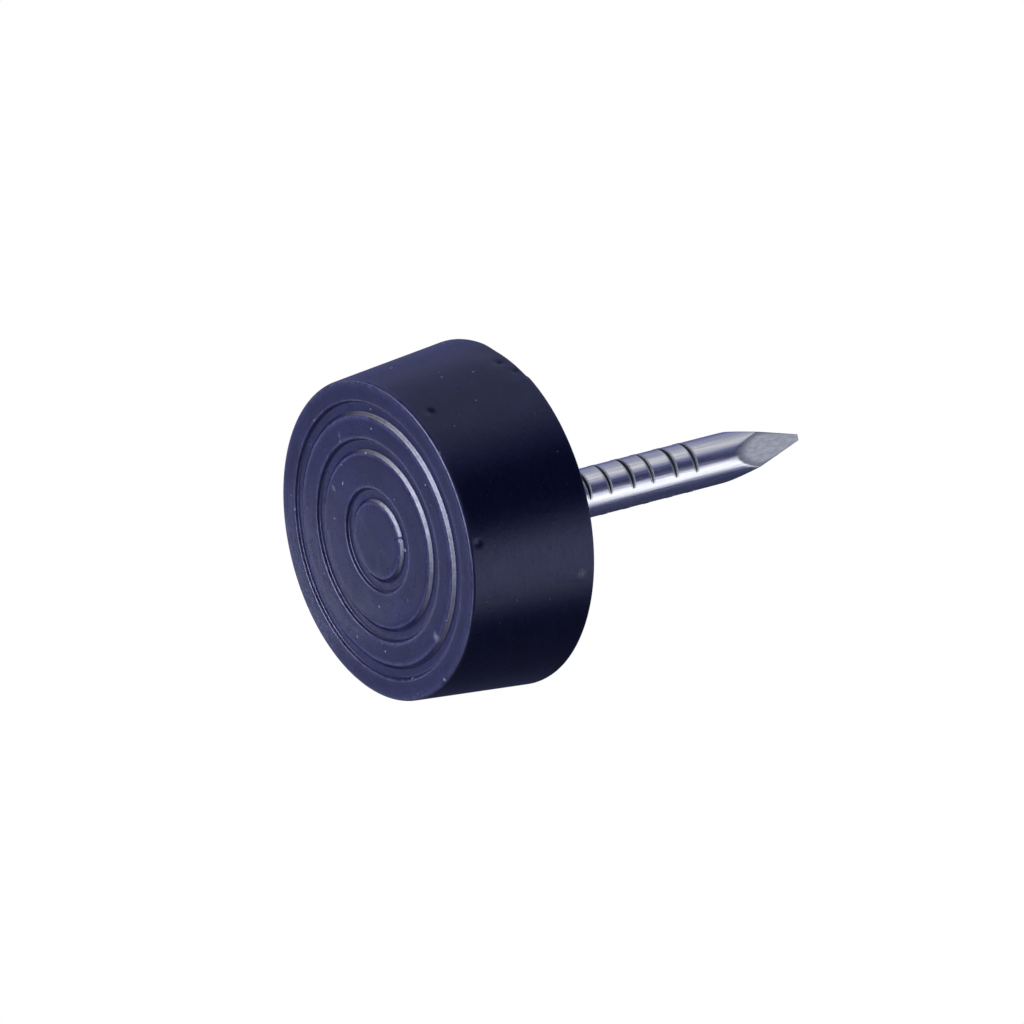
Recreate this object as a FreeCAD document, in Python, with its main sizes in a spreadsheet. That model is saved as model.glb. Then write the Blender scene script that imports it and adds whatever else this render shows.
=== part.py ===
import FreeCAD, Part
import os
import Sketcher

# Nail on furniture glide: a short moulded foot with a steel nail standing out of its back.
# The foot rests on its grooved floor face at z = 0 and the nail points up along +Z.

sizes = [
    # alias, size in mm or degrees, what it is
    ("floor_diameter", 20.5, "foot, across the face that meets the floor"),
    ("seat_diameter", 22.2, "foot, across the face that meets the chair leg"),
    ("foot_height", 8.7, "foot, from its floor face to its seat"),
    ("rim_radius", 0.18, "rounding of the rim round the floor face"),
    ("seat_edge_break", 0.12, "flat broken on the edge round the seat"),
    ("groove_width", 0.96, "ring groove, across its mouth"),
    ("groove_floor_width", 0.5, "ring groove, across its flat floor"),
    ("groove_depth", 0.2, "ring groove"),
    ("inner_groove_radius", 2.9, "middle line of the inner ring groove"),
    ("middle_groove_radius", 6.03, "middle line of the middle ring groove"),
    ("outer_groove_radius", 8.42, "middle line of the outer ring groove"),
    ("nick_width", 0.35, "small chip out of the inner groove's lip"),
    ("nick_turn", 276.0, "where the chip lies round the groove"),
    ("shank_diameter", 3.17, "nail wire"),
    ("exposed_length", 24.15, "nail, from the seat to the tip"),
    ("head_diameter", 7.5, "nail head, buried in the foot"),
    ("head_thickness", 1.2, "nail head"),
    ("head_cover", 3.0, "foot material between the floor face and the head"),
    ("swell_diameter", 3.6, "nail wire where it swells to meet the head"),
    ("nail_offset", 0.35, "how far off the middle the nail was moulded in"),
    ("point_half_angle", 13.6, "slope of each facet of the point"),
    ("point_turn", 5.0, "turn of the four facets about the nail"),
    ("point_offset", 0.08, "how far off the nail's own axis the point was cut"),
    ("tip_width", 0.4, "blunt end of the point"),
    ("mark_depth", 0.12, "gripper mark at its deepest"),
    ("mark_half_angle", 48.0, "slope of a gripper mark's two flanks"),
    ("mark_reach", 67.0, "how far round the wire a mark runs to each side"),
    ("mark_pitch", 1.66, "from one gripper mark to the next"),
    ("mark_start", 1.62, "from the seat to the first gripper mark"),
    ("mark_count", 9, "gripper marks along each side"),
    ("mark_turn", 225.0, "middle of the row of marks that faces the near side"),
    ("mark_stagger", 0.12, "how far the second row stands above the first"),
]

doc = FreeCAD.newDocument("furniture_glide")
sheet = doc.addObject("Spreadsheet::Sheet", "Sizes")
for row, (alias, size, note) in enumerate(sizes, start=1):
    sheet.set("A%d" % row, alias)
    sheet.set("B%d" % row, str(size))
    sheet.set("C%d" % row, note)
    sheet.setAlias("B%d" % row, alias)
doc.recompute()

# Heights and places that follow from the sizes, as expressions on the sheet
seatLevel = "Sizes.foot_height"
tipLevel = "(Sizes.foot_height + Sizes.exposed_length)"
headLevel = "Sizes.head_cover"
headTop = "(Sizes.head_cover + Sizes.head_thickness)"
floorRadius = "Sizes.floor_diameter / 2"
seatRadius = "Sizes.seat_diameter / 2"
shankRadius = "Sizes.shank_diameter / 2"
headRadius = "Sizes.head_diameter / 2"
swellRadius = "Sizes.swell_diameter / 2"

# Section of the part of the nail that the foot is moulded round, from the middle of the head to the seat
buriedNail = [("0", headLevel), (headRadius, headLevel), (headRadius, headTop),
              (swellRadius, headTop), (shankRadius, seatLevel)]


def valueOf(expression):
    return float(sheet.evalExpression(expression))


def addSketch(body, name, role, aside="0", turn="0", out="0"):
    """Attach a sketch to the body's own plane, turned about Z, shifted out that way and aside along X."""
    sketch = body.newObject("Sketcher::SketchObject", name)
    plane = [feature for feature in body.Origin.OriginFeatures if feature.Role == role][0]
    sketch.AttachmentSupport = [(plane, "")]
    sketch.MapMode = "FlatFace"
    standing = role == "XZ_Plane"
    upright = FreeCAD.Vector(0, 1, 0) if standing else FreeCAD.Vector(0, 0, 1)
    sketch.AttachmentOffset = FreeCAD.Placement(FreeCAD.Vector(), FreeCAD.Rotation(upright, 0.0))
    sketch.setExpression("AttachmentOffset.Rotation.Angle", turn)
    sketch.setExpression("AttachmentOffset.Base.x", "%s + %s * cos((%s) * 1deg)" % (aside, out, turn))
    depth = "%s * sin((%s) * 1deg)" % (out, turn)
    if standing:
        sketch.setExpression("AttachmentOffset.Base.z", "-1 * " + depth)
    else:
        sketch.setExpression("AttachmentOffset.Base.y", depth)
    return sketch


def pinPoint(sketch, part, end, place):
    """Hold one end of a line at a place of two expressions, or on the sketch's axis where one is zero."""
    for kind, axis, expression in (("DistanceX", -2, place[0]), ("DistanceY", -1, place[1])):
        if expression == "0":
            sketch.addConstraint(Sketcher.Constraint("PointOnObject", part, end, axis))
            continue
        value = valueOf(expression)
        index = sketch.addConstraint(Sketcher.Constraint(kind, -1, 1, part, end, value))
        sketch.setExpression("Constraints[%d]" % index, expression)


def addOutline(sketch, places):
    """Draw a closed outline of straight lines through places, each held by the sheet."""
    corners = [FreeCAD.Vector(valueOf(x), valueOf(y), 0) for x, y in places]
    first = None
    for index, corner in enumerate(corners):
        following = corners[(index + 1) % len(corners)]
        line = sketch.addGeometry(Part.LineSegment(corner, following), False)
        first = line if first is None else first
        if index:
            sketch.addConstraint(Sketcher.Constraint("Coincident", line - 1, 2, line, 1))
    sketch.addConstraint(Sketcher.Constraint("Coincident", first + len(corners) - 1, 2, first, 1))
    for index, place in enumerate(places):
        pinPoint(sketch, first + index, 1, place)


def addGroove(sketch, radius):
    """Draw one ring groove's section, a flat floor between two sloping walls."""
    mouth = "Sizes.groove_width / 2"
    floor = "Sizes.groove_floor_width / 2"
    addOutline(sketch, [("%s - %s" % (radius, mouth), "0"), ("%s + %s" % (radius, mouth), "0"),
                        ("%s + %s" % (radius, floor), "Sizes.groove_depth"),
                        ("%s - %s" % (radius, floor), "Sizes.groove_depth")])


def addTurned(body, kind, name, sketch):
    """Turn a sketch about its own vertical axis, to add to the body or cut from it."""
    feature = body.newObject(kind, name)
    feature.Profile = sketch
    feature.ReferenceAxis = (sketch, ["V_Axis"])
    feature.Angle = 360.0
    doc.recompute()
    return feature


def circularEdges(shape, radius, level):
    """Name the shape's full circles of a radius at a height."""
    names = []
    for index, edge in enumerate(shape.Edges, start=1):
        if not isinstance(edge.Curve, Part.Circle):
            continue
        if abs(edge.Curve.Radius - radius) < 1e-4 and abs(edge.Curve.Center.z - level) < 1e-4:
            names.append("Edge%d" % index)
    return names


def easeEdge(body, kind, name, base, size, circleRadius, level):
    """Round or chamfer one circular edge of the base by a size, given as its property and its alias."""
    eased = body.newObject(kind, name)
    eased.Base = (base, circularEdges(base.Shape, valueOf(circleRadius), valueOf(level)))
    eased.setExpression(size[0], "Sizes." + size[1])
    doc.recompute()
    return eased


def makeFoot():
    """Moulded foot: a short cone, wider at the seat, with three ring grooves and the nail's bed inside."""
    body = doc.addObject("PartDesign::Body", "glide_foot")
    body.Label = "glide_foot"

    blankSketch = addSketch(body, "BlankSketch", "XZ_Plane")
    addOutline(blankSketch, [("0", "0"), (floorRadius, "0"), (seatRadius, seatLevel), ("0", seatLevel)])
    blank = addTurned(body, "PartDesign::Revolution", "Blank", blankSketch)
    rimSize = ("Radius", "rim_radius")
    rim = easeEdge(body, "PartDesign::Fillet", "FloorRim", blank, rimSize, floorRadius, "0")
    seatSize = ("Size", "seat_edge_break")
    easeEdge(body, "PartDesign::Chamfer", "SeatEdge", rim, seatSize, seatRadius, seatLevel)

    grooveSketch = addSketch(body, "GrooveSketch", "XZ_Plane")
    for alias in ("inner_groove_radius", "middle_groove_radius", "outer_groove_radius"):
        addGroove(grooveSketch, "Sizes." + alias)
    addTurned(body, "PartDesign::Groove", "RingGrooves", grooveSketch)

    # The chip takes the inner groove's inner lip away over a short stretch
    innerLip = "(Sizes.inner_groove_radius - Sizes.groove_width / 2)"
    nickSketch = addSketch(body, "NickSketch", "XY_Plane", "0", "Sizes.nick_turn", innerLip)
    addOutline(nickSketch, [(sx + "Sizes.nick_width / 2", sy + "Sizes.nick_width / 2")
                            for sx, sy in (("-", "-"), ("", "-"), ("", ""), ("-", ""))])
    nick = body.newObject("PartDesign::Pocket", "LipNick")
    nick.Profile = nickSketch
    nick.Reversed = True
    nick.setExpression("Length", "Sizes.groove_depth / 2")
    doc.recompute()

    # The bed follows the nail's head and shank face to face, because the foot was moulded round them
    bedSketch = addSketch(body, "BedSketch", "XZ_Plane", "Sizes.nail_offset")
    addOutline(bedSketch, buriedNail + [("0", seatLevel)])
    addTurned(body, "PartDesign::Groove", "NailBed", bedSketch)
    return body


def addMarks(body, name, turn, lift):
    """One row of gripper marks, cut by V rings that stand off the nail's axis, so each mark fades out."""
    # A mark is mark_depth deep at its middle and comes to nothing mark_reach round to each side
    slip = "(Sizes.mark_depth / (1 - cos(Sizes.mark_reach * 1deg)))"
    ringRadius = "(%s + %s - Sizes.mark_depth)" % (shankRadius, slip)
    level = "(%s + Sizes.mark_start + %s)" % (seatLevel, lift)
    spread = "2 * Sizes.mark_depth * tan(Sizes.mark_half_angle * 1deg)"
    edge = "%s + 2 * Sizes.mark_depth" % ringRadius
    sketch = addSketch(body, name + "Sketch", "XZ_Plane", "Sizes.nail_offset", turn, "-%s" % slip)
    addOutline(sketch, [(ringRadius, level), (edge, "%s - %s" % (level, spread)),
                        (edge, "%s + %s" % (level, spread))])
    mark = addTurned(body, "PartDesign::Groove", name, sketch)
    row = body.newObject("PartDesign::LinearPattern", name + "Row")
    row.Originals = [mark]
    row.Direction = (sketch, ["V_Axis"])
    row.setExpression("Occurrences", "Sizes.mark_count")
    row.setExpression("Length", "(Sizes.mark_count - 1) * Sizes.mark_pitch")
    body.Tip = row
    doc.recompute()
    return row


def makeNail():
    """Wire nail with a flat head, two rows of gripper marks and a point cut with four facets."""
    body = doc.addObject("PartDesign::Body", "nail")
    body.Label = "nail"

    wireSketch = addSketch(body, "WireSketch", "XZ_Plane", "Sizes.nail_offset")
    addOutline(wireSketch, buriedNail + [(shankRadius, tipLevel), ("0", tipLevel)])
    addTurned(body, "PartDesign::Revolution", "HeadAndShank", wireSketch)

    addMarks(body, "NearMark", "Sizes.mark_turn", "0")
    addMarks(body, "FarMark", "Sizes.mark_turn - 180", "Sizes.mark_stagger")

    # Each facet is a plane that leans in at the half angle, and would meet the others above the blunt tip
    slope = "tan(Sizes.point_half_angle * 1deg)"
    apex = "(%s + Sizes.tip_width / 2 / %s)" % (tipLevel, slope)
    reach = "(Sizes.shank_diameter + 2 * Sizes.point_offset)"
    pointAside = "Sizes.nail_offset - Sizes.point_offset"
    facetSketch = addSketch(body, "FacetSketch", "XZ_Plane", pointAside, "Sizes.point_turn")
    addOutline(facetSketch, [("0", apex), (reach, "%s - %s / %s" % (apex, reach, slope)), (reach, apex)])
    facet = body.newObject("PartDesign::Pocket", "Facet")
    facet.Profile = facetSketch
    facet.Midplane = True
    facet.setExpression("Length", "2 * %s" % reach)
    doc.recompute()
    point = body.newObject("PartDesign::PolarPattern", "Point")
    point.Originals = [facet]
    point.Axis = (facetSketch, ["V_Axis"])
    point.Angle = 360.0
    point.Occurrences = 4
    body.Tip = point
    doc.recompute()
    return body


def checkDocument(bodies):
    """Stop if any object failed or any piece isn't one valid solid."""
    for item in doc.Objects:
        if "Invalid" in item.State or "Error" in item.State:
            raise RuntimeError("%s failed: %s" % (item.Name, item.State))
    for body in bodies:
        shape = body.Shape
        if shape.isNull() or not shape.isValid() or len(shape.Solids) != 1:
            raise RuntimeError("%s is not one valid solid" % body.Label)


pieces = [makeFoot(), makeNail()]
doc.recompute()
checkDocument(pieces)
os.makedirs("parts", exist_ok=True)
for piece in pieces:
    piece.Shape.exportStep("parts/%s.step" % piece.Label)
    box = piece.Shape.BoundBox
    print("%s: %.2f mm3, x %.2f to %.2f, y %.2f to %.2f, z %.2f to %.2f" % (
        piece.Label, piece.Shape.Volume, box.XMin, box.XMax, box.YMin, box.YMax, box.ZMin, box.ZMax))
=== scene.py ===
import math

import bpy
import numpy as np
from mathutils import Matrix, Vector


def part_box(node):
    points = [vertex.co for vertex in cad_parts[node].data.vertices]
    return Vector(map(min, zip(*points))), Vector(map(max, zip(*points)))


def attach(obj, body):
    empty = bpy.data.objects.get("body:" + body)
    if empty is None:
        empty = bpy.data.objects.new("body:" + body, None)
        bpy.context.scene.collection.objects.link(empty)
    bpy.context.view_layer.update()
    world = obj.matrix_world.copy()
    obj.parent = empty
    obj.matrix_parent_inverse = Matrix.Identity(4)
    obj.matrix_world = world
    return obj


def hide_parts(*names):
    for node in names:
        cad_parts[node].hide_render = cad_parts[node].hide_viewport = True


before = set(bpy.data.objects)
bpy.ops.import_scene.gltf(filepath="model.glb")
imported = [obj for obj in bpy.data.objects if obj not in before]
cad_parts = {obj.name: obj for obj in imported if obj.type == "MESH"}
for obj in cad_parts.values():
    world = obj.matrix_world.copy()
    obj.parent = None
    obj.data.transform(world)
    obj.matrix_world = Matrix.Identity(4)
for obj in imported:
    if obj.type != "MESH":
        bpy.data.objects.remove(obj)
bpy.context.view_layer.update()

mm = 0.001
footLow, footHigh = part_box("glide_foot")
nailLow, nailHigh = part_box("nail")
seatLevel = footHigh.z
nailAside = (nailLow.x + nailHigh.x) / 2    # the nail stands a little off the foot's middle
cornerGap = 0.03 * mm                       # two rows this close together keep a corner crisp
print("frame loaded, foot", round(seatLevel / mm, 2), "mm high")


# Meshes from grids

def smoothStep(value):
    # 0 below 0, 1 above 1, and 3t^2 - 2t^3 between
    t = np.clip(value, 0.0, 1.0)
    return t * t * (3 - 2 * t)


def turnsAround(count):
    return np.arange(count) * 2 * math.pi / count


def angleBetween(turn, middle):
    # signed angle from the middle to the turn, between minus and plus half a circle
    return (turn - middle + math.pi) % (2 * math.pi) - math.pi


def waves(turn, height, seed, count, finest, tallest):
    # sum of count sines of whole numbers of turns around and free numbers along, with random phases
    random = np.random.default_rng(seed)
    total = np.zeros(np.broadcast(turn, height).shape)
    for _ in range(count):
        lobes = random.integers(1, finest)
        rise = random.uniform(-tallest, tallest)
        phase = random.uniform(0, 2 * math.pi)
        total = total + np.sin(lobes * turn + rise * height + phase) / lobes ** 0.5
    return total / count ** 0.5


def closedSurface(name, grid, ends, marks):
    # grid holds rows of points around; ends are the two poles; marks are named values for each grid point
    rows, around = grid.shape[:2]
    places = np.vstack([[ends[0]], grid.reshape(-1, 3), [ends[1]]])
    index = 1 + np.arange(rows * around).reshape(rows, around)
    following = np.roll(index, -1, axis=1)
    quads = np.stack([index[:-1], following[:-1], following[1:], index[1:]], axis=-1).reshape(-1, 4)
    firstPole = np.stack([np.zeros(around, int), following[0], index[0]], axis=-1)
    lastPole = np.stack([np.full(around, len(places) - 1), index[-1], following[-1]], axis=-1)
    mesh = bpy.data.meshes.new(name)
    mesh.from_pydata(places.tolist(), [], quads.tolist() + firstPole.tolist() + lastPole.tolist())
    mesh.polygons.foreach_set("use_smooth", np.ones(len(mesh.polygons), dtype=bool))
    for mark, values in marks.items():
        layer = mesh.attributes.new(mark, "FLOAT", "POINT")
        layer.data.foreach_set("value", np.concatenate([[0.0], values.ravel(), [0.0]]).astype(np.float32))
    piece = bpy.data.objects.new(name, mesh)
    bpy.context.collection.objects.link(piece)
    return piece


# Node helpers for the materials

def newMaterial(name):
    material = bpy.data.materials.new(name)
    material.use_nodes = True
    return material, material.node_tree.nodes["Principled BSDF"]


def addNode(material, kind, settings=None, inputs=None):
    node = material.node_tree.nodes.new(kind)
    for key, value in (settings or {}).items():
        setattr(node, key, value)
    for key, value in (inputs or {}).items():
        if isinstance(value, bpy.types.NodeSocket):
            material.node_tree.links.new(value, node.inputs[key])
        else:
            node.inputs[key].default_value = value
    return node


def objectPlaces(material, scale=(1, 1, 1)):
    # Object coordinates in millimetres, stretched by a scale
    coordinates = addNode(material, "ShaderNodeTexCoord")
    mapping = addNode(material, "ShaderNodeMapping", None, {
        "Vector": coordinates.outputs["Object"], "Scale": [1 / mm * s for s in scale]})
    return mapping.outputs["Vector"]


def noise(material, places, scale, detail=3.0, roughness=0.55, distortion=0.0):
    node = addNode(material, "ShaderNodeTexNoise", None, {
        "Vector": places, "Scale": scale, "Detail": detail, "Roughness": roughness, "Distortion": distortion})
    return node.outputs["Fac"]


def ramp(material, value, low, high, toLow=0.0, toHigh=1.0):
    node = addNode(material, "ShaderNodeMapRange", {"interpolation_type": "SMOOTHSTEP"}, {
        "Value": value, "From Min": low, "From Max": high, "To Min": toLow, "To Max": toHigh})
    return node.outputs["Result"]


def calculate(material, operation, first, second):
    node = addNode(material, "ShaderNodeMath", {"operation": operation}, {0: first, 1: second})
    return node.outputs["Value"]


def blendColour(material, factor, first, second):
    node = addNode(material, "ShaderNodeMix", {"data_type": "RGBA"}, {
        "Factor": factor, "A": first, "B": second})
    return node.outputs["Result"]


def surfaceMark(material, name):
    return addNode(material, "ShaderNodeAttribute", {"attribute_name": name}).outputs["Fac"]


def bump(material, height, strength, distance, normal=None):
    inputs = {"Height": height, "Strength": strength, "Distance": distance}
    if normal is not None:
        inputs["Normal"] = normal
    return addNode(material, "ShaderNodeBump", None, inputs).outputs["Normal"]


# Foot

foot = {
    "around": 352,                      # points round each row
    "seatRadius": (footHigh.x - footLow.x) / 2,
    "floorShare": 0.9234,               # floor face radius for a seat radius of one
    "rimRadius": 0.24 * mm,
    "seatEdgeRadius": 0.12 * mm,
    "grooveRadii": [2.9 * mm, 6.03 * mm, 8.42 * mm],
    "grooveHalfWidth": 0.48 * mm,
    "innerFloorHalf": 0.20 * mm,        # from a groove's middle to the foot of its inner wall
    "outerFloorHalf": 0.32 * mm,
    "grooveDepth": 0.24 * mm,
    "lipSoftness": 0.20,                # rounding of a wall's top and foot, as a share of its run
    "firstRow": 0.12 * mm,              # radius of the rows next to the two poles
    "lastRow": 0.5 * mm,
    "finestRow": 0.027 * mm,
    "coarsestRow": 0.30 * mm,
    "grooveMargin": 0.05 * mm,          # fine rows reach this far past a groove's lips
    "seatMargin": 0.30 * mm,            # the seat's own rows stop this far from its two edges
    "rimRows": 15,
    "sideRows": 44,
    "seatEdgeRows": 8,
    "seatRows": 18,
    "faceShare": 0.2,                   # part of the rim's height that moves with the floor face
    "shrink": 0.02 * mm,                # keeps the waves inside the frame's own size
    "waveHeight": 0.006 * mm,
    "faceWaves": {"seed": 11, "count": 9, "finest": 9, "tallest": 0.9},
    "faceSunk": 1.6,                    # wave heights by which the face lies further in
    "sideWaves": {"seed": 5, "count": 12, "finest": 15, "tallest": 1.1},
    "sideSunk": 1.8,
    "dent": {"from": 201.0, "to": 228.0, "fadeIn": 9.0, "fadeOut": 2.5,
             "depth": 0.10 * mm, "reach": 2.2 * mm},
    "nick": {"turn": 276.0, "halfTurn": 3.4, "radius": 2.5 * mm, "halfWidth": 0.28 * mm, "depth": 0.09 * mm},
    # small pits in the side: degrees round, height, half width, depth
    "pits": [(216.0, 7.87 * mm, 0.36 * mm, 0.16 * mm), (222.5, 8.20 * mm, 0.30 * mm, 0.15 * mm),
             (228.0, 1.17 * mm, 0.46 * mm, 0.13 * mm), (279.6, 0.62 * mm, 0.30 * mm, 0.10 * mm)],
    # pale scuffs: degrees round, radius, height, half width, strength
    "scuffs": [(297.7, 11.0 * mm, 7.77 * mm, 0.30 * mm, 1.0), (329.8, 7.75 * mm, 0.0, 0.30 * mm, 0.3),
               (171.0, 6.9 * mm, 0.0, 0.16 * mm, 0.3), (140.0, 5.0 * mm, 0.0, 0.14 * mm, 0.3)],
    "scuffReach": 1.3,                  # half widths at which a scuff has faded out
    # paler edges along the grooves' lips, the rim and the seat's edge: partly wear, partly a painted
    # highlight
    "lipWearAndSheen": (0.02 * mm, 0.05 * mm),  # how far outside a groove's lip the pale line of wear and painted highlight lies, and how wide
    "rimWearAndSheen": 0.25 * mm,
    "seatEdgeWearAndSheen": 0.12 * mm,
}


def spacedRows(stops, finest, coarsest, busy, halfBusy):
    # places from the first stop to the last, close together near the busy ones and wide apart elsewhere
    fine = np.arange(stops[0], stops[1], finest)
    nearest = np.min(np.abs(fine[:, None] - np.asarray(busy)[None, :]), axis=1)
    wanted = np.where(nearest < halfBusy, finest, coarsest)
    travelled = np.concatenate([[0.0], np.cumsum(finest / wanted[:-1])])
    steps = np.arange(0, travelled[-1], 1.0)
    return np.interp(steps, travelled, fine)


def arc(middle, radius, start, end, count):
    # points of a circle from one angle to another, in degrees from the outward way towards up
    angle = np.radians(np.linspace(start, end, count))
    return np.column_stack([middle[0] + radius * np.cos(angle), middle[1] + radius * np.sin(angle)])


def grooveDepthAt(radius):
    # full depth over the flat floor and straight walls; t runs from 0 at the lip to 1 at the floor, and
    # (sqrt(t^2 + k^2) - sqrt((t - 1)^2 + k^2) + 1) / 2 follows it with both ends rounded
    fromMiddle = radius[..., None] - np.asarray(foot["grooveRadii"])
    outwards = smoothStep(fromMiddle / foot["grooveHalfWidth"] + 0.5)
    floorHalf = foot["innerFloorHalf"] + (foot["outerFloorHalf"] - foot["innerFloorHalf"]) * outwards
    t = (foot["grooveHalfWidth"] - np.abs(fromMiddle)) / (foot["grooveHalfWidth"] - floorHalf)
    soft = foot["lipSoftness"]
    return foot["grooveDepth"] * np.max(np.hypot(t, soft) - np.hypot(t - 1, soft) + 1, axis=-1) / 2


def footProfile():
    # (radius, height) out over the floor face, up the side, in over the seat and down round the nail's head
    seatRadius = foot["seatRadius"] - foot["shrink"]
    floorRadius = foot["seatRadius"] * foot["floorShare"] - foot["shrink"]
    lean = math.degrees(math.atan2(seatRadius - floorRadius, seatLevel))
    rim = foot["rimRadius"]
    # the rounding touches the floor face and the leaning side
    rimMiddle = floorRadius - rim * (1 - math.sin(math.radians(lean))) / math.cos(math.radians(lean))
    face = spacedRows((foot["firstRow"], rimMiddle), foot["finestRow"], foot["coarsestRow"],
                      foot["grooveRadii"], foot["grooveHalfWidth"] + foot["grooveMargin"])
    facePoints = np.column_stack([face, np.zeros(len(face))])
    rimPoints = arc((rimMiddle, rim), rim, -90, -lean, foot["rimRows"])
    edge = foot["seatEdgeRadius"]
    edgeMiddle = (seatRadius - edge, seatLevel - edge)
    edgePoints = arc(edgeMiddle, edge, -lean, 90, foot["seatEdgeRows"])
    along = np.linspace(0, 1, foot["sideRows"] + 2)[1:-1, None]
    sidePoints = rimPoints[-1] * (1 - along) + edgePoints[0] * along

    bed, swell, head = nail["wireRadius"], nail["swellRadius"], nail["headRadius"]
    bottom = nailLow.z
    top = bottom + nail["headThickness"]
    seat = np.linspace(edgeMiddle[0] - foot["seatMargin"], bed + foot["seatMargin"], foot["seatRows"])
    seatPoints = np.column_stack([seat, np.full(len(seat), seatLevel)])
    bedPoints = np.array([
        (bed, seatLevel), (bed, seatLevel - cornerGap), (swell, top + cornerGap), (swell + cornerGap, top),
        (head - cornerGap, top), (head, top - cornerGap), (head, bottom + cornerGap),
        (head - cornerGap, bottom), (foot["lastRow"], bottom)])
    outside = np.vstack([facePoints, rimPoints, sidePoints, edgePoints])
    return outside, seatPoints, bedPoints


def sunkFace(turn, radius):
    # how far in the floor face lies: its grooves, a chip in the inner groove's lip and a slight waviness
    chip = foot["nick"]
    aside = np.abs(angleBetween(turn, math.radians(chip["turn"])))
    chipShape = smoothStep(1 - aside / math.radians(chip["halfTurn"]))
    chipShape = chipShape * smoothStep(1 - np.abs(radius - chip["radius"]) / chip["halfWidth"])
    uneven = waves(turn, radius / mm, **foot["faceWaves"])
    sunk = grooveDepthAt(radius * np.ones_like(turn)) + chip["depth"] * chipShape
    return sunk + foot["waveHeight"] * (uneven + foot["faceSunk"]) * smoothStep(radius / mm)


def squeezedSide(turn, height):
    # how far in the side lies: its waves, the dented stretch of the rear rim and small pits
    ripple = waves(turn, height / mm, **foot["sideWaves"])
    inward = foot["waveHeight"] * (ripple + foot["sideSunk"])
    dent = foot["dent"]
    degrees = np.degrees(turn)
    inStretch = smoothStep((degrees - dent["from"]) / dent["fadeIn"])
    inStretch = inStretch * smoothStep((dent["to"] - degrees) / dent["fadeOut"])
    inward = inward + dent["depth"] * inStretch * smoothStep(1 - (seatLevel - height) / dent["reach"])
    for pitTurn, pitHeight, halfWidth, depth in foot["pits"]:
        aside = angleBetween(turn, math.radians(pitTurn)) * foot["seatRadius"]
        apart = np.hypot(aside, height - pitHeight)
        inward = inward + depth * smoothStep(1 - apart / halfWidth)
    return inward


def scuffStrength(turn, radius, height, onFace, onSide):
    # pale round scuffs, on the side where they have a height and otherwise on the floor face
    scuffed = np.zeros(np.broadcast(turn, radius).shape)
    for scuffTurn, scuffRadius, scuffHeight, halfWidth, strength in foot["scuffs"]:
        aside = angleBetween(turn, math.radians(scuffTurn)) * scuffRadius
        along = height - scuffHeight if scuffHeight > 0 else radius - scuffRadius
        onSameSurface = onSide if scuffHeight > 0 else onFace
        inReach = smoothStep(foot["scuffReach"] - np.hypot(aside, along) / halfWidth)
        scuffed = np.maximum(scuffed, inReach * onSameSurface * strength)
    return scuffed


def wearAndSheenOnEdges(radius, height, rimRadius, onFace, isOutside):
    # bell curves about the grooves' lips, the rim and the seat's edge: paler edges that are partly wear and
    # partly a painted highlight
    away = np.min(np.abs(radius[..., None] - np.asarray(foot["grooveRadii"])), axis=-1)
    lipAside, lipWidth = foot["lipWearAndSheen"]
    lip = np.exp(-((away - foot["grooveHalfWidth"] - lipAside) / lipWidth) ** 2) * onFace
    rim = np.exp(-(np.hypot(radius - rimRadius, height) / foot["rimWearAndSheen"]) ** 2) * isOutside
    seatEdge = np.exp(-((seatLevel - height) / foot["seatEdgeWearAndSheen"]) ** 2) * isOutside
    return np.clip(lip + rim + seatEdge, 0, 1)


def makeFoot():
    outside, seatPoints, bedPoints = footProfile()
    profile = np.vstack([outside, seatPoints, bedPoints])
    radius = profile[:, :1]
    height = profile[:, 1:]
    turn = turnsAround(foot["around"])[None, :]
    isOutside = (np.arange(len(profile)) < len(outside))[:, None]
    onFace = isOutside & (height < foot["rimRadius"] * foot["faceShare"])
    onSide = isOutside & ~onFace
    lift = np.where(onFace, sunkFace(turn, radius), 0.0)
    squeeze = np.where(onSide, squeezedSide(turn, height), 0.0)

    # the seat's rows slide over to the nail's own middle, and the bed follows the nail
    share = np.zeros((len(profile), 1))
    first, last = len(outside), len(outside) + len(seatPoints)
    share[first:last, 0] = np.linspace(0, 1, len(seatPoints))
    share[last:] = 1.0
    grid = np.stack([
        (radius - squeeze) * np.cos(turn) + share * nailAside,
        (radius - squeeze) * np.sin(turn) + 0 * height,
        height + lift + 0 * turn], axis=-1)

    rimRadius = outside[:, 0].max() * foot["floorShare"]
    # the paler edges: partly wear, partly a painted highlight
    marks = {"edgeWearAndSheen": wearAndSheenOnEdges(radius, height, rimRadius, onFace, isOutside) * np.ones_like(turn),
             "scuffed": scuffStrength(turn, radius, height, onFace, onSide)}
    ends = [(0.0, 0.0, float(lift[0].mean())), (nailAside, 0.0, nailLow.z)]
    return closedSurface("moulded_foot", grid, ends, marks)


plastic = {
    "base": (0.0018, 0.0023, 0.0160, 1.0),
    "pale": (0.0034, 0.0042, 0.0250, 1.0),
    # pale colour for the grain's flecks and for the paler edges, which are partly wear and partly a painted
    # highlight
    "paleFleckWearAndSheen": (0.022, 0.024, 0.064, 1.0),
    "scuff": (0.20, 0.215, 0.30, 1.0),
    "speck": (0.11, 0.115, 0.19, 1.0),
    "roughness": (0.17, 0.28),
    "specularLevel": 0.50,
    "specularTint": (0.46, 0.52, 1.0, 1.0),
    "grainPerMm": 5.5,
    "grainHeight": 0.010 * mm,
    "blotchPerMm": 0.33,
    "blotchHeight": 0.05 * mm,
    "scuffsPerMm": 1.3,
    "scuffSquash": 2.5,                 # how much flatter the scuffs are than long
    "specksPerMm": 2.1,
}


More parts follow.
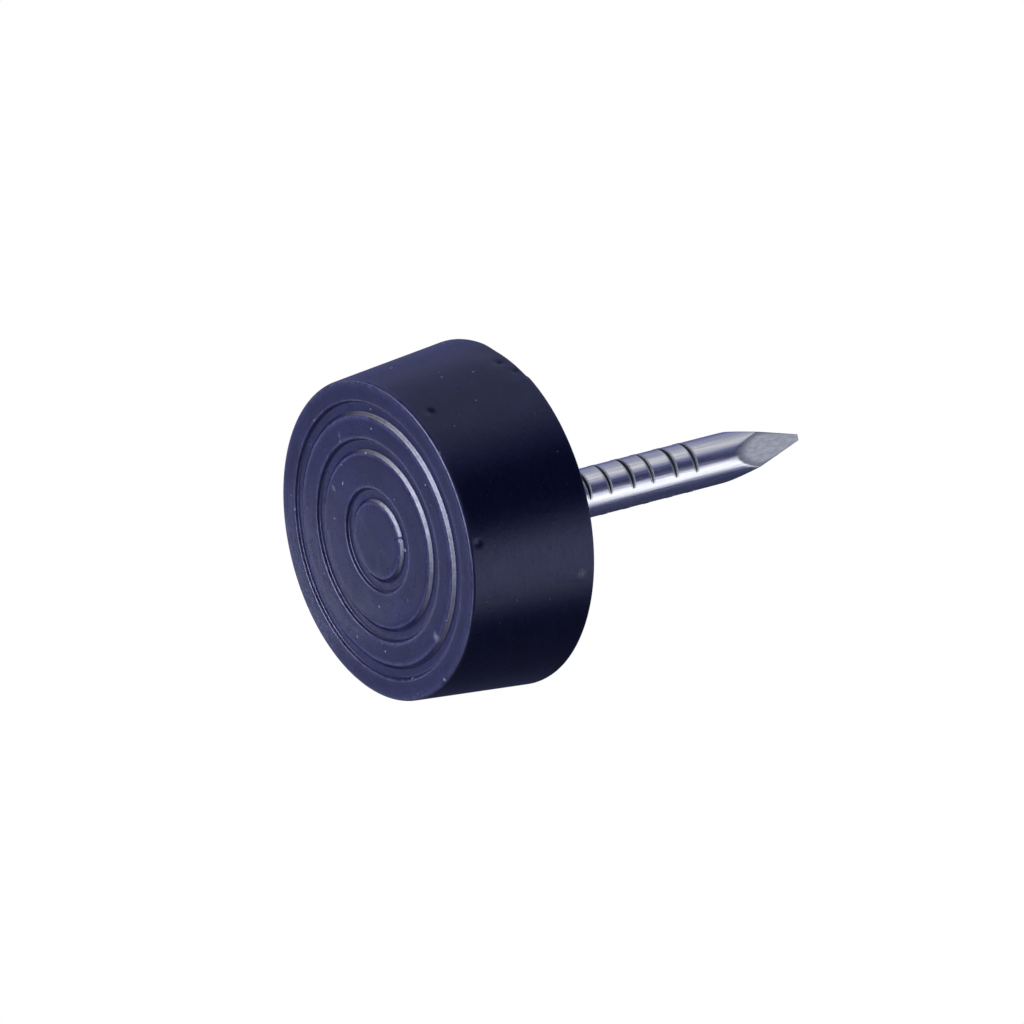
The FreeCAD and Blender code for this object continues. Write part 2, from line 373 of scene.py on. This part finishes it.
def mouldedPlastic():
    material, shader = newMaterial("mouldedPlastic")
    places = objectPlaces(material)
    blotches = noise(material, places, plastic["blotchPerMm"], 4.0, 0.6, 0.6)
    grain = noise(material, places, plastic["grainPerMm"], 4.0, 0.65)
    scuffPlaces = objectPlaces(material, (1, 1, plastic["scuffSquash"]))
    scuffs = noise(material, scuffPlaces, plastic["scuffsPerMm"], 5.0, 0.7, 1.2)

    # colour: cloudy base, paler edges that are partly worn and partly a painted highlight, a few dust specks
    colour = blendColour(material, ramp(material, blotches, 0.35, 0.7), plastic["base"], plastic["pale"])
    colour = blendColour(material, ramp(material, grain, 0.45, 0.75, 0.0, 0.15), colour, plastic["paleFleckWearAndSheen"])
    patches = ramp(material, scuffs, 0.35, 0.6, 0.3, 1.0)
    # painted highlight mixed with wear: the edges' patchy pale line
    paleFleckWearAndSheen = calculate(material, "MULTIPLY", surfaceMark(material, "edgeWearAndSheen"), patches)
    colour = blendColour(material, paleFleckWearAndSheen, colour, plastic["paleFleckWearAndSheen"])
    flecks = ramp(material, grain, 0.3, 0.6, 0.3, 1.0)
    scuffed = calculate(material, "MULTIPLY", surfaceMark(material, "scuffed"), flecks)
    colour = blendColour(material, scuffed, colour, plastic["scuff"])
    specks = noise(material, places, plastic["specksPerMm"], 1.0, 0.4)
    colour = blendColour(material, ramp(material, specks, 0.755, 0.80, 0.0, 0.8), colour, plastic["speck"])
    link = material.node_tree.links.new
    link(colour, shader.inputs["Base Color"])

    lowRough, highRough = plastic["roughness"]
    link(ramp(material, scuffs, 0.3, 0.7, lowRough, highRough), shader.inputs["Roughness"])
    shader.inputs["Specular IOR Level"].default_value = plastic["specularLevel"]
    shader.inputs["Specular Tint"].default_value = plastic["specularTint"]
    fine = bump(material, grain, 0.55, plastic["grainHeight"])
    link(bump(material, blotches, 0.6, plastic["blotchHeight"], fine), shader.inputs["Normal"])
    return material


# Nail

nail = {
    "around": 240,                      # points round each row
    "wireRadius": 1.585 * mm,
    "headRadius": 3.75 * mm,
    "headThickness": 1.2 * mm,
    "swellRadius": 1.8 * mm,
    "firstRow": 0.5 * mm,               # radius of the row next to the head's pole
    "pointAside": 0.08 * mm,            # the point was cut this far off the wire's own middle
    "facetAngle": 13.6,
    "facetTurns": [5.0, 95.0, 185.0, 275.0],
    "tipHalfWidth": 0.2 * mm,
    "edgeSharpness": 40,                # power of the soft sum that joins the facets and the wire
    "edgeSoftness": 9,                  # the same for the facets' edges, where shade is painted
    "edgeShadeFrom": 0.93,                # share of the largest at which an edge's painted shade starts, and its fade
    "edgeShadeFade": 0.45,
    "facetFrom": 0.3,
    "facetFade": 0.4,
    # each gripper mark: millimetres above the seat, depth in millimetres
    "marks": [(1.62, 0.10), (3.28, 0.12), (4.94, 0.11), (6.60, 0.12), (8.22, 0.10), (10.0, 0.13),
              (11.53, 0.09), (13.36, 0.13), (14.97, 0.12)],
    "markTurn": 225.0,
    "markReach": 67.0,                  # degrees to each side at which a mark has faded out
    "markFlank": 48.0,
    "farLift": 0.12,                    # millimetres by which the far row stands higher
    "fullMark": 0.12 * mm,              # depth at which a mark's painted shade is full
    "burrHeight": 0.022 * mm,
    "burrAway": 0.04 * mm,
    "burrWidth": 0.05 * mm,
    "burrFade": 2.5,
    "leastCut": 0.01 * mm,
    "waveHeight": 0.006 * mm,
    "waves": {"seed": 21, "count": 8, "finest": 7, "tallest": 0.5},
    "finestRow": 0.035 * mm,
    "coarsestRow": 0.16 * mm,
    "markMargin": 0.30 * mm,            # fine rows reach this far from a mark's middle
    "firstBareRow": 0.02 * mm,          # above the seat
    "lastBareRow": 0.30 * mm,           # below the facets
    "firstPointRow": 0.20 * mm,         # below the facets
    "pointRows": 96,
}


def headRows():
    # (radius, height) out under the head, up its side and in to the swell
    bottom = nailLow.z
    top = bottom + nail["headThickness"]
    wide, swell = nail["headRadius"], nail["swellRadius"]
    return np.array([
        (nail["firstRow"], bottom), (wide - cornerGap, bottom), (wide, bottom + cornerGap),
        (wide, top - cornerGap), (wide - cornerGap, top), (swell + cornerGap, top), (swell, top + cornerGap)])


def bareRows():
    # heights of the rows of the bare shank, close together at the marks and along the point
    tip = nailHigh.z
    levels = [seatLevel + level * mm for level, _ in nail["marks"]]
    busy = levels + [level + nail["farLift"] * mm for level in levels]
    pointLength = (nail["wireRadius"] + nail["pointAside"]) / math.tan(math.radians(nail["facetAngle"]))
    stops = (seatLevel + nail["firstBareRow"], tip - pointLength - nail["lastBareRow"])
    shank = spacedRows(stops, nail["finestRow"], nail["coarsestRow"], busy, nail["markMargin"])
    point = np.linspace(tip - pointLength - nail["firstPointRow"], tip, nail["pointRows"])
    return np.concatenate([shank, point])


def wireAndPoint(turn, height):
    # outline of the wire with its four facets, the facets' share of it, and how near a facet's edge it is
    # radius of the wire seen from the point's own axis: e cos t + sqrt(r^2 - e^2 sin^2 t)
    offset = nail["pointAside"]
    wire = offset * np.cos(turn) + np.sqrt(nail["wireRadius"] ** 2 - (offset * np.sin(turn)) ** 2)
    # each facet is a plane: (apex - height) tan a / cos(t - facet), where it faces that way
    slope = math.tan(math.radians(nail["facetAngle"]))
    apex = nailHigh.z + nail["tipHalfWidth"] / slope
    facing = np.cos(turn - np.radians(nail["facetTurns"])[:, None, None])
    facets = np.maximum(apex - height, 1e-9) * slope / np.maximum(facing, 1e-3)
    # the outline is their soft least: (sum of reach^-p)^(-1 / p)
    reaches = np.concatenate([(wire + 0 * height)[None], facets]) / mm
    parts = reaches ** -float(nail["edgeSharpness"])
    total = parts.sum(axis=0)
    outline = total ** (-1 / nail["edgeSharpness"]) * mm
    facetShare = parts[1:].sum(axis=0) / total
    # near an edge no reach outweighs the others in a softer sum
    soft = reaches ** -float(nail["edgeSoftness"])
    largest = soft.max(axis=0) / soft.sum(axis=0)
    facetEdge = smoothStep((nail["edgeShadeFrom"] - largest) / nail["edgeShadeFade"])
    facetEdge = facetEdge * smoothStep((facetShare - nail["facetFrom"]) / nail["facetFade"])
    return outline, facetShare, facetEdge


def gripperMarks(turn, height):
    # V cuts that fade out round the wire, with a burr on each side
    cut = np.zeros(np.broadcast(turn, height).shape)
    burr = np.zeros_like(cut)
    flank = math.tan(math.radians(nail["markFlank"]))
    edgeCos = math.cos(math.radians(nail["markReach"]))
    for lift, row in ((0.0, nail["markTurn"]), (nail["farLift"], nail["markTurn"] - 180)):
        fade = np.cos(angleBetween(turn, math.radians(row)))
        fade = np.sqrt(np.clip((fade - edgeCos) / (1 - edgeCos), 0, 1))
        for level, depth in nail["marks"]:
            away = np.abs(height - (seatLevel + (level + lift) * mm))
            deepest = depth * mm * fade
            cut = np.maximum(cut, deepest - away / flank)
            ridge = np.exp(-((away - deepest * flank - nail["burrAway"]) / nail["burrWidth"]) ** 2)
            burr = np.maximum(burr, nail["burrHeight"] * ridge * smoothStep(fade * nail["burrFade"]))
    return cut, burr


def makeNail():
    turn = turnsAround(nail["around"])[None, :]
    head = headRows()
    height = np.concatenate([head[:, 1], bareRows()])[:, None]
    isBare = np.arange(len(height))[:, None] >= len(head)
    outline, facetShare, facetEdge = wireAndPoint(turn, height)
    cut, burr = gripperMarks(turn, height)
    cut = cut * isBare
    onWire = facetShare < 0.5
    outline = outline - cut * onWire + burr * isBare * (cut < nail["leastCut"]) * onWire

    # drawn wire is never quite even
    uneven = waves(turn, height / mm, **nail["waves"])
    outline = outline + nail["waveHeight"] * uneven * isBare * (1 - facetShare)

    middle = nailAside - nail["pointAside"]
    grid = np.stack([middle + outline * np.cos(turn), outline * np.sin(turn), height + 0 * turn], axis=-1)
    headRadius = head[:, :1]
    grid[:len(head)] = np.stack([nailAside + headRadius * np.cos(turn), headRadius * np.sin(turn),
                                 head[:, 1:] + 0 * turn], axis=-1)
    marks = {"markDepth": np.clip(cut / nail["fullMark"], 0, 1), "facet": facetShare * isBare,
             "facetEdge": facetEdge * isBare}
    ends = [(nailAside, 0.0, nailLow.z), (middle, 0.0, nailHigh.z)]
    return closedSurface("wire_nail", grid, ends, marks)


steel = {
    "bright": (0.64, 0.65, 0.69, 1.0),
    "dull": (0.49, 0.50, 0.55, 1.0),
    # darker steel painted along the point's facet edges as shade
    "paintedEdgeShade": (0.20, 0.21, 0.27, 1.0),
    # dark colour painted into the gripper marks' cuts as shade
    "cutShade": (0.045, 0.050, 0.075, 1.0),
    "roughness": (0.13, 0.24),
    "linesPerMm": 7.0,                  # drawn lines across the wire
    "lineStretch": 0.035,               # and how much closer they lie along it
    "lineHeight": 0.012 * mm,
    "cloudsPerMm": 0.7,
    "grainPerMm": 9.0,
}


def brightSteel():
    material, shader = newMaterial("brightSteel")
    shader.inputs["Metallic"].default_value = 1.0
    places = objectPlaces(material)
    linePlaces = objectPlaces(material, (1, 1, steel["lineStretch"]))
    drawn = noise(material, linePlaces, steel["linesPerMm"], 4.0, 0.6)
    cloud = noise(material, places, steel["cloudsPerMm"], 4.0, 0.6, 0.5)
    fine = noise(material, places, steel["grainPerMm"], 3.0, 0.6)
    colour = blendColour(material, ramp(material, drawn, 0.35, 0.65), steel["dull"], steel["bright"])
    colour = blendColour(material, ramp(material, cloud, 0.50, 0.8, 0.0, 0.35), colour, steel["dull"])
    # painted shade: the gripper marks' cuts darkened where they sink in
    shadedCut = ramp(material, surfaceMark(material, "markDepth"), 0.02, 0.4, 0.0, 0.96)
    colour = blendColour(material, shadedCut, colour, steel["cutShade"])
    # painted shade: the facets darker towards their edges
    paintedEdgeShade = ramp(material, surfaceMark(material, "facetEdge"), 0.0, 1.0, 0.0, 0.75)
    colour = blendColour(material, paintedEdgeShade, colour, steel["paintedEdgeShade"])
    link = material.node_tree.links.new
    link(colour, shader.inputs["Base Color"])
    lowRough, highRough = steel["roughness"]
    cutFlat = surfaceMark(material, "facet")
    uneven = ramp(material, calculate(material, "ADD", drawn, fine), 0.7, 1.3, lowRough, highRough)
    uneven = calculate(material, "MAXIMUM", uneven, ramp(material, cutFlat, 0.3, 0.9, 0.0, highRough))
    link(uneven, shader.inputs["Roughness"])
    lines = bump(material, drawn, ramp(material, cutFlat, 0.3, 0.9, 0.5, 0.06), steel["lineHeight"])
    grainStrength = ramp(material, cutFlat, 0.3, 0.9, 0.10, 0.005)
    link(bump(material, fine, grainStrength, steel["lineHeight"], lines), shader.inputs["Normal"])
    return material


# Camera: it looks up at the foot's floor face from the front, a long way off

view = {
    "back": (0.0, -0.8334, -0.5527),
    "right": (0.2495, -0.5352, 0.8071),
    "aim": (0.360 * mm, -4.821 * mm, 7.138 * mm),
    "distance": 616 * mm,
    "lens": 349.0,
}


def viewAxes():
    back = Vector(view["back"]).normalized()
    right = Vector(view["right"])
    right = (right - right.dot(back) * back).normalized()
    return right, back.cross(right), back


def towards(direction):
    # world direction for one given as the picture's right, up and towards the camera
    right, up, back = viewAxes()
    return (right * direction[0] + up * direction[1] + back * direction[2]).normalized()


def makeCamera():
    data = bpy.data.cameras.new("camera")
    data.lens = view["lens"]
    data.sensor_width = 36.0
    data.clip_start = 0.01
    camera = bpy.data.objects.new("camera", data)
    right, up, back = viewAxes()
    place = Vector(view["aim"]) + back * view["distance"]
    camera.matrix_world = Matrix.Translation(place) @ Matrix((right, up, back)).transposed().to_4x4()
    bpy.context.collection.objects.link(camera)
    bpy.context.scene.camera = camera


# Studio: white surroundings, soft lamps, and screens and glowing sheets that only reflections see

faceMirror = (-0.892, -0.230, -0.389)       # the picture direction that the floor face mirrors

studio = {
    "surroundings": 1.0,
    "ambient": 0.06,
    "middle": (0.0, -3.0 * mm, 8.0 * mm),
    "floorSize": 1.4,
    "floorColour": (0.86, 0.86, 0.88, 1.0),
    "tentRadius": 0.9,
    "tentAround": 24,
    "tentRows": 13,
    "tentColour": (0.20, 0.205, 0.24),
    # lamps that no reflection sees: name, picture direction, distance, width, watts
    "lamps": [
        ("keyLamp", (-0.92, 0.02, 0.38), 0.30, 0.13, 2.60),
        ("topLamp", (0.35, 0.85, -0.40), 0.45, 0.22, 2.30),
        ("sideLamp", (0.90, -0.15, 0.25), 0.45, 0.20, 0.35),
        ("rearLamp", (0.45, 0.25, -0.86), 0.50, 0.25, 0.60),
    ],
    # panels that only reflections see: name, picture direction, distance, width, height, colour
    "screens": [
        ("facePanel", faceMirror, 0.50, 0.36, 0.36, (0.47, 0.49, 0.54)),
        ("rearPanel", (0.95, 0.10, -0.28), 0.55, 0.38, 0.60, (0.55, 0.57, 0.65)),
    ],
    # small panels close to the floor face: name, the point in millimetres that mirrors them, then as above
    "nearPanels": [
        ("glowPanel", (0.8, 9.0), 0.036, 0.005, 0.0090, (4.0, 4.1, 4.1)),
        ("widePanel", (0.0, -1.0), 0.042, 0.013, 0.0080, (0.62, 0.65, 0.69)),
    ],
    # what the side and the nail mirror: degrees that their surface is turned up from the near one, strength
    "sideGlow": [(-90, 0.04), (-65, 0.05), (-46, 0.07), (-38, 0.09), (-35, 0.28), (-31, 0.82),
                 (-27, 1.48), (-20, 1.90), (-14, 1.70), (-10, 1.10), (-7, 0.50), (-4, 0.16),
                 (0, 0.07), (9, 0.07), (14, 0.12), (18, 0.30), (23, 0.62), (28, 0.90),
                 (34, 0.92), (41, 0.70), (50, 0.49), (62, 0.40), (70, 0.20), (90, 0.08)],
    "sideGlowReach": (44.0, 76.0),      # degrees away from the nail's way
    "sideGlowSteps": (181, 9),
    "sideGlowDistance": 0.50,
    "dimTint": (1.0, 1.10, 2.30, 1.0),
    "brightTint": (1.0, 1.01, 1.06, 1.0),
    "brightFrom": 0.7,                  # strength from which a sheet has its bright tint
    # what the walls of the grooves mirror: the same angle and strength, and the share by degrees of steepness
    "wallGlow": [(-75, 0.0), (-60, 1.5), (-52, 3.5), (-30, 9.0), (-8, 22.0), (0, 32.0), (22, 40.0),
                 (44, 24.0), (66, 5.0), (88, 0.3)],
    "wallSteepness": [(32, 0.0), (35, 1.0), (39, 1.0), (41, 0.0)],
    "wallGlowSteps": (60, 34),
    "wallGlowTint": (1.0, 0.93, 0.60, 1.0),
    "wallGlowDistance": 0.06,
    "wallReach": 6.0 * mm,              # from the foot's middle to the walls that mirror it
}


def addPanel(name, direction, distance, width, height, middle):
    # a flat oblong facing the given middle: that middle plus the distance away, and half a side each way
    middle = Vector(middle)
    away = towards(direction)
    side = away.cross(towards((0.0, 1.0, 0.0))).normalized()
    rise = side.cross(away).normalized()
    corners = [middle + away * distance + side * (sx * width / 2) + rise * (sy * height / 2)
               for sx, sy in ((1, -1), (-1, -1), (-1, 1), (1, 1))]
    mesh = bpy.data.meshes.new(name)
    mesh.from_pydata([tuple(corner) for corner in corners], [], [(0, 1, 2, 3)])
    panel = bpy.data.objects.new(name, mesh)
    bpy.context.collection.objects.link(panel)
    return panel


def glowOnlyInGloss(screen, name):
    # gives the screen a glowing material that only reflections see, and returns it with its glow node
    material = bpy.data.materials.new(name)
    material.use_nodes = True
    nodes = material.node_tree.nodes
    nodes.clear()
    glow = nodes.new("ShaderNodeEmission")
    output = nodes.new("ShaderNodeOutputMaterial")
    material.node_tree.links.new(glow.outputs["Emission"], output.inputs["Surface"])
    material.cycles.emission_sampling = "NONE"
    screen.data.materials.append(material)
    screen.visible_camera = False
    screen.visible_diffuse = False
    screen.visible_shadow = False
    screen.visible_transmission = False
    return material, glow


def glowPlainly(screen, name, colour):
    glow = glowOnlyInGloss(screen, name)[1]
    glow.inputs["Color"].default_value = (*colour, 1.0)


def addScreen(name, direction, distance, width, height, colour):
    glowPlainly(addPanel(name, direction, distance, width, height, studio["middle"]), name, colour)


def addNearPanel(name, facePoint, distance, width, height, colour):
    middle = (facePoint[0] * mm, facePoint[1] * mm, 0.0)
    glowPlainly(addPanel(name, faceMirror, distance, width, height, middle), name, colour)


def addGlowSheet(name, places, strengths, dimTint, brightTint):
    # a bent sheet of light: rows of places with a strength for each, which only reflections see
    rows, across = strengths.shape
    index = np.arange(rows * across).reshape(rows, across)
    quads = np.stack([index[:-1, :-1], index[1:, :-1], index[1:, 1:], index[:-1, 1:]], axis=-1).reshape(-1, 4)
    mesh = bpy.data.meshes.new(name)
    mesh.from_pydata(places.reshape(-1, 3).tolist(), [], quads.tolist())
    layer = mesh.attributes.new("glow", "FLOAT", "POINT")
    layer.data.foreach_set("value", strengths.ravel().astype(np.float32))
    sheet = bpy.data.objects.new(name, mesh)
    bpy.context.collection.objects.link(sheet)
    material, glow = glowOnlyInGloss(sheet, name)
    strength = surfaceMark(material, "glow")
    bright = ramp(material, strength, 0.0, studio["brightFrom"])
    link = material.node_tree.links.new
    link(strength, glow.inputs["Strength"])
    link(blendColour(material, bright, dimTint, brightTint), glow.inputs["Color"])


def addSideGlow():
    # a surface turned by an angle about the nail's way mirrors what stands at twice that angle
    angles, strengths = np.array(studio["sideGlow"]).T
    around, along = studio["sideGlowSteps"]
    fine = np.linspace(angles[0], angles[-1], around)
    away = np.radians(np.linspace(*studio["sideGlowReach"], along))
    turned = 2 * np.radians(fine)[:, None]
    places = np.stack([-np.sin(turned) * np.sin(away), -np.cos(turned) * np.sin(away),
                       np.cos(away) + 0 * turned], axis=-1) * studio["sideGlowDistance"]
    strength = np.interp(fine, angles, strengths)[:, None] * np.ones(along)
    places = places + np.array(studio["middle"])
    addGlowSheet("sideGlow", places, strength, studio["dimTint"], studio["brightTint"])


def addWallGlow():
    # a wall leaning by its steepness towards an angle mirrors the camera's way: 2 (n . v) n - v
    angles, byAngle = np.array(studio["wallGlow"]).T
    leans, byLean = np.array(studio["wallSteepness"]).T
    around, along = studio["wallGlowSteps"]
    angle = np.linspace(angles[0], angles[-1], around)
    lean = np.linspace(leans[0], leans[-1], along)
    tilted = np.radians(lean)[None, :]
    turned = np.radians(angle)[:, None]
    normal = np.stack([-np.sin(turned) * np.sin(tilted), -np.cos(turned) * np.sin(tilted),
                       -np.cos(tilted) + 0 * turned], axis=-1)
    back = np.array(viewAxes()[2])
    mirrored = 2 * (normal @ back)[..., None] * normal - back
    strength = np.interp(angle, angles, byAngle)[:, None] * np.interp(lean, leans, byLean)[None, :]
    start = np.stack([-np.sin(turned), -np.cos(turned), 0 * turned], axis=-1) * studio["wallReach"]
    places = start + mirrored * studio["wallGlowDistance"]
    addGlowSheet("wallGlow", places, strength, studio["wallGlowTint"], studio["wallGlowTint"])


def addTent():
    # a wide ball round everything, so that no reflection finds a gap between the screens
    turn = turnsAround(studio["tentAround"])[None, :]
    tilt = np.linspace(0, math.pi, studio["tentRows"])[1:-1, None]
    reach = studio["tentRadius"]
    grid = np.stack([reach * np.sin(tilt) * np.cos(turn), reach * np.sin(tilt) * np.sin(turn),
                     reach * np.cos(tilt) + 0 * turn], axis=-1)
    tent = closedSurface("tent", grid, [(0.0, 0.0, reach), (0.0, 0.0, -reach)], {})
    glowPlainly(tent, "tent", studio["tentColour"])


def addLamp(name, direction, distance, width, watts):
    data = bpy.data.lights.new(name, "AREA")
    data.shape = "DISK"
    data.size = width
    data.energy = watts
    lamp = bpy.data.objects.new(name, data)
    away = towards(direction)
    lamp.location = Vector(studio["middle"]) + away * distance
    lamp.rotation_euler = away.to_track_quat("Z", "Y").to_euler()
    lamp.visible_camera = False
    lamp.visible_glossy = False
    bpy.context.collection.objects.link(lamp)


def makeWorld():
    world = bpy.data.worlds.new("studio")
    world.use_nodes = True
    bpy.context.scene.world = world
    nodes = world.node_tree.nodes
    link = world.node_tree.links.new
    background = nodes["Background"]
    path = nodes.new("ShaderNodeLightPath")
    seen = path.outputs["Is Camera Ray"]
    for output in ("Is Glossy Ray", "Is Transmission Ray"):
        either = nodes.new("ShaderNodeMath")
        either.operation = "MAXIMUM"
        link(seen, either.inputs[0])
        link(path.outputs[output], either.inputs[1])
        seen = either.outputs["Value"]
    strength = nodes.new("ShaderNodeMapRange")
    strength.inputs["To Min"].default_value = studio["ambient"]
    strength.inputs["To Max"].default_value = studio["surroundings"]
    link(seen, strength.inputs["Value"])
    background.inputs["Color"].default_value = (1.0, 1.0, 1.0, 1.0)
    link(strength.outputs["Result"], background.inputs["Strength"])


def makeFloor():
    half = studio["floorSize"] / 2
    mesh = bpy.data.meshes.new("floor")
    corners = [(-half, -half, 0), (half, -half, 0), (half, half, 0), (-half, half, 0)]
    mesh.from_pydata(corners, [], [(0, 1, 2, 3)])
    floor = bpy.data.objects.new("floor", mesh)
    bpy.context.collection.objects.link(floor)
    material, shader = newMaterial("paleFloor")
    shader.inputs["Base Color"].default_value = studio["floorColour"]
    shader.inputs["Roughness"].default_value = 0.9
    shader.inputs["Specular IOR Level"].default_value = 0.1
    # from below the floor lets the camera see the face that stands on it
    under = addNode(material, "ShaderNodeNewGeometry").outputs["Backfacing"]
    clear = addNode(material, "ShaderNodeBsdfTransparent")
    mix = addNode(material, "ShaderNodeMixShader", None, {"Fac": under})
    link = material.node_tree.links.new
    link(shader.outputs["BSDF"], mix.inputs[1])
    link(clear.outputs["BSDF"], mix.inputs[2])
    link(mix.outputs["Shader"], material.node_tree.nodes["Material Output"].inputs["Surface"])
    mesh.materials.append(material)
    floor.visible_diffuse = False
    floor.visible_glossy = False
    floor.visible_transmission = False
    floor.visible_shadow = False


footPiece = makeFoot()
footPiece.data.materials.append(mouldedPlastic())
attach(footPiece, "root")
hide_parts("glide_foot")
print("foot made,", len(footPiece.data.polygons), "faces")

nailPiece = makeNail()
nailPiece.data.materials.append(brightSteel())
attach(nailPiece, "root")
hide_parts("nail")
print("nail made,", len(nailPiece.data.polygons), "faces")

makeCamera()
makeWorld()
makeFloor()
for lamp in studio["lamps"]:
    addLamp(*lamp)
for screen in studio["screens"]:
    addScreen(*screen)
for panel in studio["nearPanels"]:
    addNearPanel(*panel)
addSideGlow()
addWallGlow()
addTent()
bpy.context.scene.view_settings.view_transform = "Standard"
print("studio set")
